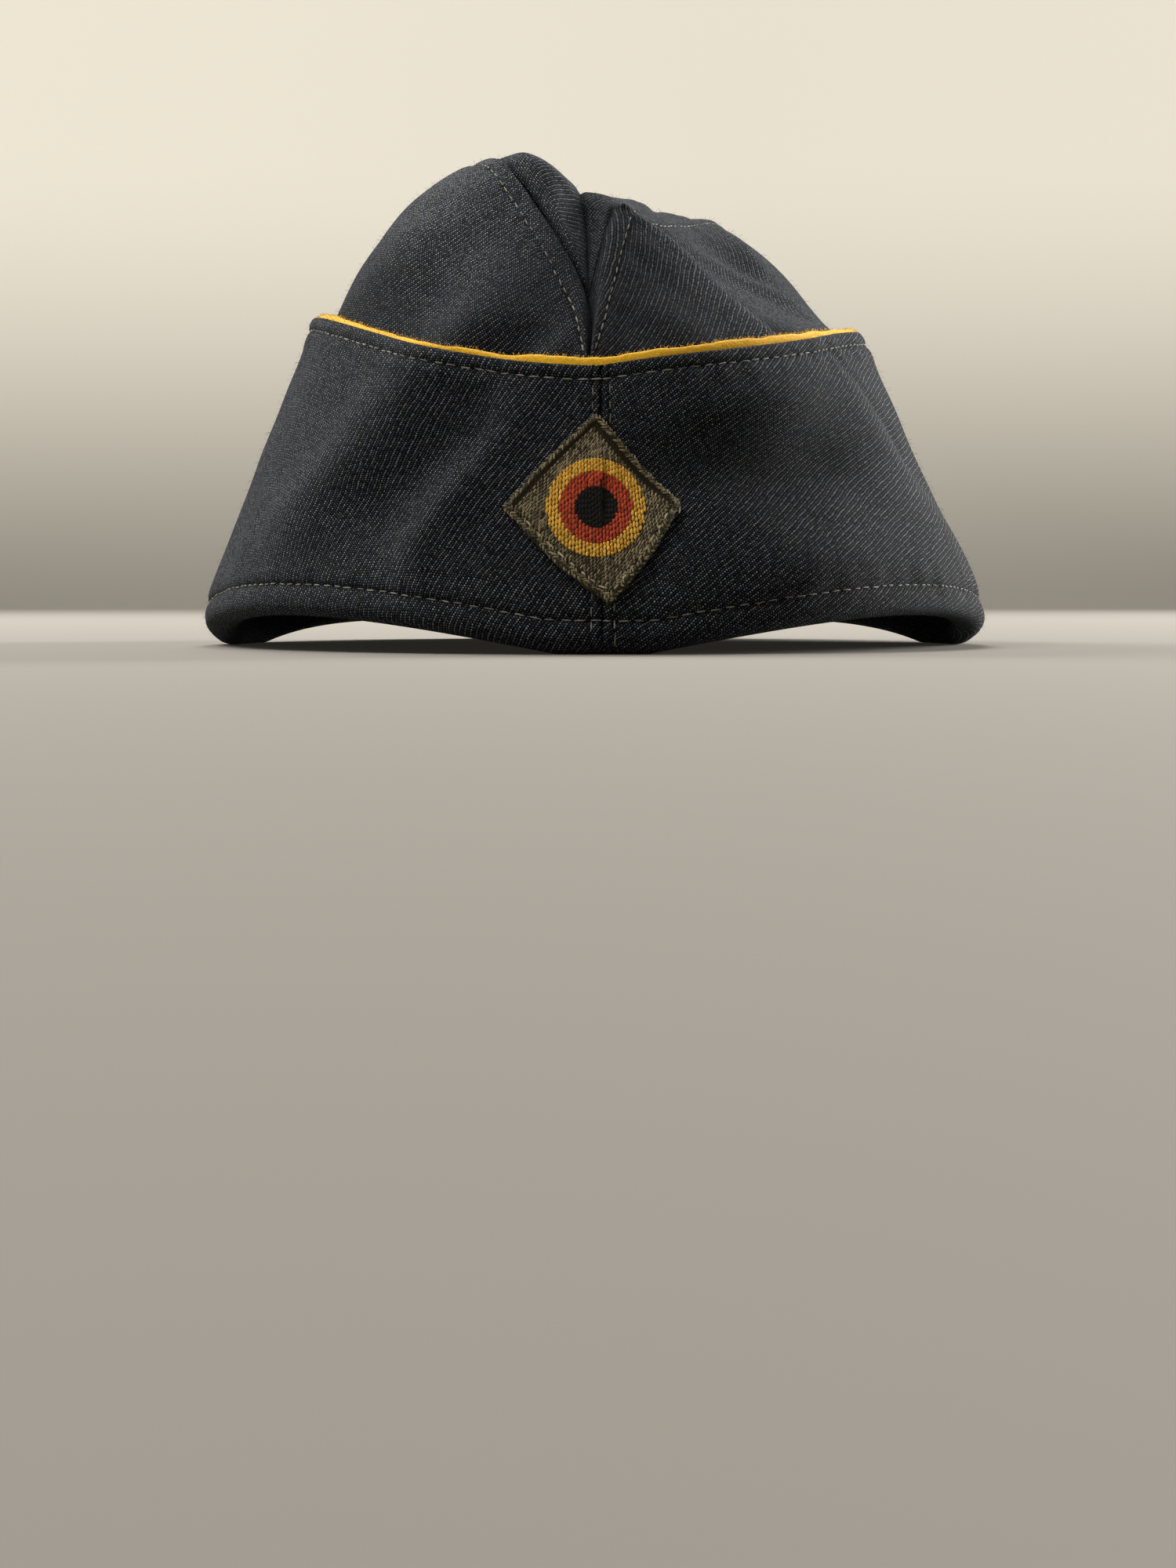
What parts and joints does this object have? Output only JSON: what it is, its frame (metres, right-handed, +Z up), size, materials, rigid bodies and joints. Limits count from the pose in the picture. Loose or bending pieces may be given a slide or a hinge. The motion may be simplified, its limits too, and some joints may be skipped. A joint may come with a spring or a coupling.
{
  "type": "side cap",
  "caption": "Soft wool side cap with a folded-in crown, a deep turn-up edged with yellow felt piping, and a ringed cockade on a diamond patch at the front.",
  "frame": {"origin": "on the surface the cap stands on, under the middle of its rim", "axes": "+Z up, -Y towards the front with the cockade, +X to the right as seen from the front"},
  "size_m": [0.1597, 0.2039, 0.0977],
  "materials": {
    "wool_twill": "dark blue-grey heathered wool twill",
    "piping_felt": "yellow wool felt",
    "patch_weave": "grey-green ribbed weave",
    "thread_gold": "gold woven thread",
    "thread_red": "dark red woven thread",
    "thread_black": "black woven thread"
  },
  "bodies": {
    "root": {"crown_side_left": "wool_twill", "crown_side_right": "wool_twill", "crown_top": "wool_twill", "turn_up_left": "wool_twill", "turn_up_right": "wool_twill", "piping": "piping_felt", "cockade_patch": "patch_weave", "cockade_ring_gold": "thread_gold", "cockade_ring_red": "thread_red", "cockade_centre_black": "thread_black"}
  },
  "joints": []
}
